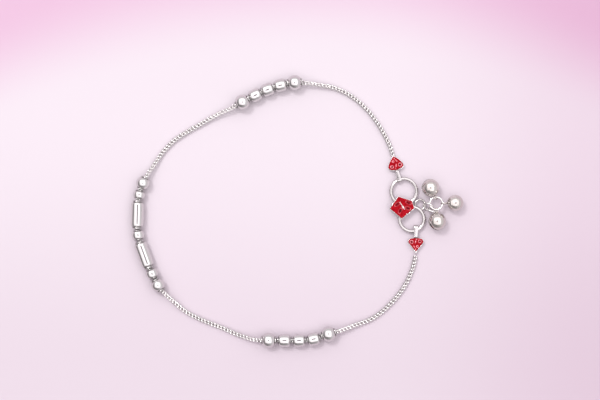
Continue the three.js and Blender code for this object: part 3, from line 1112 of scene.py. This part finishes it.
weigh_normals([*trays, *glasses])
report("hearts", [*trays, *glasses, *reliefs])

# %% [markdown]
# ## The jump rings
#
# A jump ring is a turn of wire cut from a coil, so it has a fine joint where its ends
# meet. One short piece of the torus is taken out and its two ends are filled. Each ring
# hangs on the one before, so each lies at its own tilt. The wire here, and the eye's, is
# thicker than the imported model's, so that it shows, and linked rings press up to 0.11 mm
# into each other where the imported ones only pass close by.

# %% Model the jump rings
JUMP_WIRE = 0.28
JUMP_RINGS = {
    # node: radius, and the direction of its axis
    "jump_ring_1": (1.55, (-0.39, -0.71, 0.59)),
    "jump_ring_2": (1.4, (0.29, 0.89, 0.35)),
    "jump_ring_3": (1.9, (-0.14, 0.11, 0.98)),
}
JUMP_FACES = (90, 12)
JOINT_TURN = math.radians(4)


def model_jump_ring(name, radius):
    """A ring of wire with the joint where its ends meet."""
    ring = wire_ring(name, radius, JUMP_WIRE, *JUMP_FACES)
    bpy.ops.object.mode_set(mode="EDIT")
    bpy.ops.mesh.select_mode(type="FACE")
    pick(ring, lambda co: co.x > 0 and 0 < math.atan2(co.y, co.x) < JOINT_TURN, "polygons")
    bpy.ops.mesh.delete(type="FACE")
    bpy.ops.mesh.select_mode(type="EDGE")
    bpy.ops.mesh.select_all(action="DESELECT")
    bpy.ops.mesh.select_non_manifold()
    bpy.ops.mesh.fill_holes(sides=0)
    bpy.ops.mesh.select_mode(type="VERT")
    bpy.ops.object.mode_set(mode="OBJECT")
    return close_up(ring)


jump_rings = []
for node, (radius, axis) in JUMP_RINGS.items():
    ring = model_jump_ring(node.replace("jump_ring", "wire_ring"), radius)
    mark_tarnish_and_shade(ring, lambda co: 0.0)
    seat(ring, node, UP.rotation_difference(Vector(axis)).to_matrix())
    jump_rings.append(show(ring, WIRE_SILVER, "wire_silver", node))
report("jump rings", jump_rings)

# %% [markdown]
# ## The bells
#
# A ghungroo is stamped in two halves from thin silver and soldered round its middle, with a
# steel shot inside. The half with the loop has raised bands, the other half has a slit that
# ends in two round holes, which lets the sound out. The ball is turned from a profile with
# those bands, given its wall, and then cut.

# %% Turn the bell's ball
BELL_WALL = 0.3
BELL_LIFT = 0.02
BELL_AROUND = 64
BELL_STEP = 3
# each band's angle above the middle, its width in degrees and how far it stands out
BELL_BANDS = [(0, 2.5, 0.05), (44, 3.5, 0.06), (54, 3.5, 0.06), (66, 5, 0.08)]
BAND_ROOM = 0.05
SLIT_WIDTH = 0.5
SLIT_DEPTH = 0.75
HOLE_RADIUS = 0.42
LOOP_WIRE = 0.17
LOOP_FACES = (48, 12)
LOOP_DARKENING = 0.7
BALL_TARNISH = 0.1
POLE = 1e-5


def bell_profile(radius):
    """A ball's profile from pole to pole, standing out in bands by (angle, width, height)."""
    points = [(POLE, -radius + BAND_ROOM)]
    for degrees in range(-90 + BELL_STEP, 90, BELL_STEP):
        bands = sum(h * math.exp(-((degrees - at) / wide) ** 2) for at, wide, h in BELL_BANDS)
        reach = radius - BAND_ROOM + bands
        angle = math.radians(degrees)
        points.append((reach * math.cos(angle), reach * math.sin(angle)))
    return [*points, (POLE, radius)]


def cut_slit(ball, radius, slit_turn):
    """Cuts the slit across the lower half and a round hole at each end of it."""
    depth = radius * SLIT_DEPTH
    through = 3 * radius
    deselect()
    bpy.ops.mesh.primitive_cube_add(size=1)
    slit = name_piece("slit")
    slit.data.transform(Matrix.Diagonal((through, SLIT_WIDTH, depth, 1)))
    shift(slit, 0, 0, -radius + depth / 2 - BELL_WALL)
    deselect()
    bpy.ops.mesh.primitive_cylinder_add(vertices=24, radius=HOLE_RADIUS, depth=through)
    hole = name_piece("hole")
    hole.data.transform(Matrix.Rotation(math.pi / 2, 4, "Y"))
    shift(hole, 0, 0, -radius + depth - BELL_WALL)
    for cutter in (slit, hole):
        cutter.data.transform(Matrix.Rotation(slit_turn, 4, "Z"))
        apply_modifier(ball, "BOOLEAN", operation="DIFFERENCE", solver="EXACT", object=cutter)
        bpy.data.objects.remove(cutter)
    return ball


def model_bell(name, radius, loop_radius, slit_turn):
    """A bell with its loop on top, which faces along X."""
    ball = turn_profile(name, bell_profile(radius), BELL_AROUND, closed=False)
    apply_modifier(ball, "SOLIDIFY", thickness=BELL_WALL, offset=-1)
    cut_slit(ball, radius, math.radians(slit_turn))
    loop = wire_ring("loop", loop_radius, LOOP_WIRE, *LOOP_FACES)
    loop.data.transform(Matrix.Rotation(math.pi / 2, 4, "Y"))
    return solder(ball, [shift(loop, 0, 0, radius + loop_radius)], name)


# %% Hang the bells
BELLS = {
    # node: radius, loop radius, slit's turn in degrees,
    # axis from the ball to the loop, side that the loop faces
    "bell_1": (2.7, 0.62, -42, (0.48, -0.87, -0.10), (-0.68, -0.30, -0.67)),
    "bell_2": (2.5, 0.95, 0, (-0.99, -0.04, 0.10), (-0.05, 0.99, -0.12)),
    "bell_3": (2.7, 0.62, 137, (-0.10, 0.98, -0.15), (0.39, -0.10, -0.92)),
}


def bell_turn(axis, side):
    """Turns Z to the bell's axis and X to the side that its loop faces."""
    up = Vector(axis).normalized()
    across = Vector(side)
    across = (across - up * across.dot(up)).normalized()
    return Matrix((across, up.cross(across), up)).transposed()


bells = []
for node, (radius, loop_radius, slit_turn, axis, side) in BELLS.items():
    bell = model_bell(node.replace("bell", "ghungroo"), radius, loop_radius, slit_turn)
    # darker round the foot of the loop; a faint tarnish over the lower half
    mark_tarnish_and_shade(
        bell, lambda co: max(0.0, LOOP_DARKENING - co.xy.length) if co.z > 0 else BALL_TARNISH
    )
    pellet_low, pellet_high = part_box(node.replace("bell", "bell_pellet"))
    middle = (pellet_low + pellet_high) / 2
    middle.z = (radius + BELL_LIFT) * MM
    turn = bell_turn(axis, side).to_4x4()
    bell.data.transform(Matrix.Translation(middle) @ turn @ Matrix.Scale(MM, 4))
    bells.append(show(bell, BELL_SILVER, "bell_silver", node))
report("bells", bells)

# %% [markdown]
# The shot inside each bell is the frame's own node. It is hardly seen, through the slit, so
# its shape is right as it is and it only gets its finish.

# %% Finish the shot
for number in (1, 2, 3):
    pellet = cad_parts[f"bell_pellet_{number}"]
    pellet.material_slots[0].material = PELLET_STEEL
print("shot finished:", PELLET_STEEL.name)

# %% [markdown]
# ## The studio
#
# Polished silver shows its surroundings, so the studio is most of the look. There is one
# large square softbox over the piece. Each ball shows it as a white square with the grey of
# the lens hood at its centre, then a darker edge, and then the pale table and the room,
# which is dimmer on the near left. A weak sun lamp from the far left adds soft shadows.
# The table is a sheet of pale paper, with painted shade: darker at its near edge, darker and
# pinker at its far edge and corners, and darker to the right.

# %% The table
TABLE_SIZE = 3.0
TABLE_PALE = "#CCC4CA"
# painted shade on the paper: near edge, far edge and corners, right side
TABLE_NEAR_SHADE = "#C3B8C0"
TABLE_FAR_SHADE = "#C6A6BB"
TABLE_RIGHT_SHADE = "#F4EBF1"
CORNER_PULL = 2.5
# where each tone starts and ends, in metres from the middle
NEAR_SHADE_REACH = (0.03, -0.05)
FAR_SHADE_REACH = (0.048, 0.08)
RIGHT_SHADE_REACH = (0.02, 0.1)
FIBRE = 0.4
FIBRE_DEPTH = 0.01


def ramp(tree, value, start, end):
    """A smooth step from 0 to 1 between two places in metres."""
    settings = {"interpolation_type": "SMOOTHSTEP", "From Min": start, "From Max": end}
    return add_node(tree, "ShaderNodeMapRange", settings, {"Value": value}).outputs["Result"]


def tint(tree, share, base, colour, blend="MIX"):
    """Lays a colour over a base socket by a share from 0 to 1."""
    settings = {"data_type": "RGBA", "blend_type": blend, 7: linear(colour)}
    return add_node(tree, "ShaderNodeMix", settings, {0: share, 6: base}).outputs[2]


def table_finish():
    """Uncoated paper: matt, faintly fibrous, with painted shade: darker near, darker and pinker
    far and in the corners, darker to the right.
    """
    finish, tree, place = new_finish("paper_sheet_uncoated")
    split = add_node(tree, "ShaderNodeSeparateXYZ", None, {0: place})
    x, y = split.outputs["X"], split.outputs["Y"]
    square = add_node(tree, "ShaderNodeMath", {"operation": "MULTIPLY"}, {0: x, 1: x})
    reach = add_node(
        tree, "ShaderNodeMath", {"operation": "MULTIPLY_ADD", 1: CORNER_PULL},
        {0: square.outputs[0], 2: y},
    )
    pale = add_node(tree, "ShaderNodeRGB")
    pale.outputs[0].default_value = linear(TABLE_PALE)
    # painted shade: darker towards the near edge, darker and pinker towards the far edge and
    # corners, darker to the right
    tone = tint(tree, ramp(tree, y, *NEAR_SHADE_REACH), pale.outputs[0], TABLE_NEAR_SHADE)
    tone = tint(tree, ramp(tree, reach.outputs[0], *FAR_SHADE_REACH), tone, TABLE_FAR_SHADE)
    tone = tint(tree, ramp(tree, x, *RIGHT_SHADE_REACH), tone, TABLE_RIGHT_SHADE, "MULTIPLY")
    fibres = add_node(
        tree, "ShaderNodeTexNoise", {"Scale": per_mm(FIBRE), "Detail": 4.0}, {"Vector": place}
    )
    bump = add_node(
        tree, "ShaderNodeBump", {"Strength": 0.3, "Distance": FIBRE_DEPTH * MM},
        {"Height": fibres.outputs[0]},
    )
    shader = add_node(
        tree, "ShaderNodeBsdfPrincipled", {"Roughness": 0.9, "Specular IOR Level": 0.2},
        {"Base Color": tone, "Normal": bump.outputs["Normal"]},
    )
    add_node(tree, "ShaderNodeOutputMaterial", None, {"Surface": shader.outputs["BSDF"]})
    return finish


deselect()
bpy.ops.mesh.primitive_plane_add(size=TABLE_SIZE)
table = name_piece("table")
table.data.materials.append(table_finish())
print("table:", TABLE_SIZE, "m square")

# %% The camera, straight above
LENS = 85.0
SENSOR = 36.0
BOXES_WIDE = 1.805
MIDDLE_HEIGHT = 1.8 * MM
VIEW_SHIFT = Vector((0.9, 3.45, 0)) * MM
view_width = BOXES_WIDE * (cad_high - cad_low).x
view_middle = (cad_low + cad_high) / 2 + VIEW_SHIFT
camera_height = view_width * LENS / SENSOR + MIDDLE_HEIGHT

bpy.ops.object.camera_add(location=(view_middle.x, view_middle.y, camera_height))
camera = bpy.context.object
camera.data.lens = LENS
camera.data.sensor_width = SENSOR
camera.data.clip_start = 0.01
camera.data.clip_end = 20
bpy.context.scene.camera = camera
print(f"camera: {camera_height / MM:.0f} mm above the table, {view_width / MM:.1f} mm wide")

# %% The softbox, the lens hood and the room
SOFTBOX_SIZE = 1.5
SOFTBOX_PLACE = (-0.10, 0.15, 0.62)
SOFTBOX_POWER = 7.1
SOFTBOX_COLOUR = "#FFFAFD"
LAMP_STRENGTH = 1.1
LAMP_SPREAD = math.radians(14)
LAMP_FROM = Vector((-0.42, 0.5, 1.0))
HOOD_RADIUS = 0.065
HOOD_ABOVE = 0.02
HOOD_COLOUR = "#6A686A"
ROOM_DARK = "#9A9597"
ROOM_LIGHT = "#F0EBEF"
ROOM_TOWARDS = (0.7, 0.7, 0)

bpy.ops.object.light_add(type="AREA", location=SOFTBOX_PLACE)
softbox = bpy.context.object
softbox.data.shape = "SQUARE"
softbox.data.size = SOFTBOX_SIZE
softbox.data.energy = SOFTBOX_POWER
softbox.data.color = linear(SOFTBOX_COLOUR)[:3]

bpy.ops.object.light_add(type="SUN", location=LAMP_FROM)
lamp = bpy.context.object
lamp.rotation_euler = LAMP_FROM.to_track_quat("Z", "Y").to_euler()
lamp.data.energy = LAMP_STRENGTH
lamp.data.angle = LAMP_SPREAD

deselect()
bpy.ops.mesh.primitive_circle_add(
    vertices=48, radius=HOOD_RADIUS, fill_type="NGON",
    location=(view_middle.x, view_middle.y, camera_height + HOOD_ABOVE),
)
hood = name_piece("lens_hood")
hood_finish, hood_tree, _ = new_finish("matt_grey_lens_hood")
hood_shader = add_node(
    hood_tree, "ShaderNodeBsdfPrincipled", {"Base Color": linear(HOOD_COLOUR), "Roughness": 0.8}
)
add_node(hood_tree, "ShaderNodeOutputMaterial", None, {"Surface": hood_shader.outputs["BSDF"]})
hood.data.materials.append(hood_finish)
hood.visible_camera = False
hood.visible_shadow = False

room = bpy.data.worlds.new("studio_room")
room.use_nodes = True
room.node_tree.nodes.clear()
direction = add_node(room.node_tree, "ShaderNodeTexCoord").outputs["Generated"]
towards = add_node(
    room.node_tree, "ShaderNodeVectorMath", {"operation": "DOT_PRODUCT", 1: ROOM_TOWARDS},
    {0: direction},
)
share = add_node(
    room.node_tree, "ShaderNodeMapRange", {"From Min": -0.8, "From Max": 0.1},
    {"Value": towards.outputs["Value"]},
)
room_tone = add_node(
    room.node_tree, "ShaderNodeMix",
    {"data_type": "RGBA", 6: linear(ROOM_DARK), 7: linear(ROOM_LIGHT)},
    {0: share.outputs["Result"]},
)
glow = add_node(
    room.node_tree, "ShaderNodeBackground", {"Strength": 1.0}, {"Color": room_tone.outputs[2]}
)
add_node(room.node_tree, "ShaderNodeOutputWorld", None, {"Surface": glow.outputs[0]})
bpy.context.scene.world = room
bpy.context.scene.view_settings.view_transform = "Standard"
print("softbox:", SOFTBOX_SIZE, "m square,", SOFTBOX_POWER, "W")
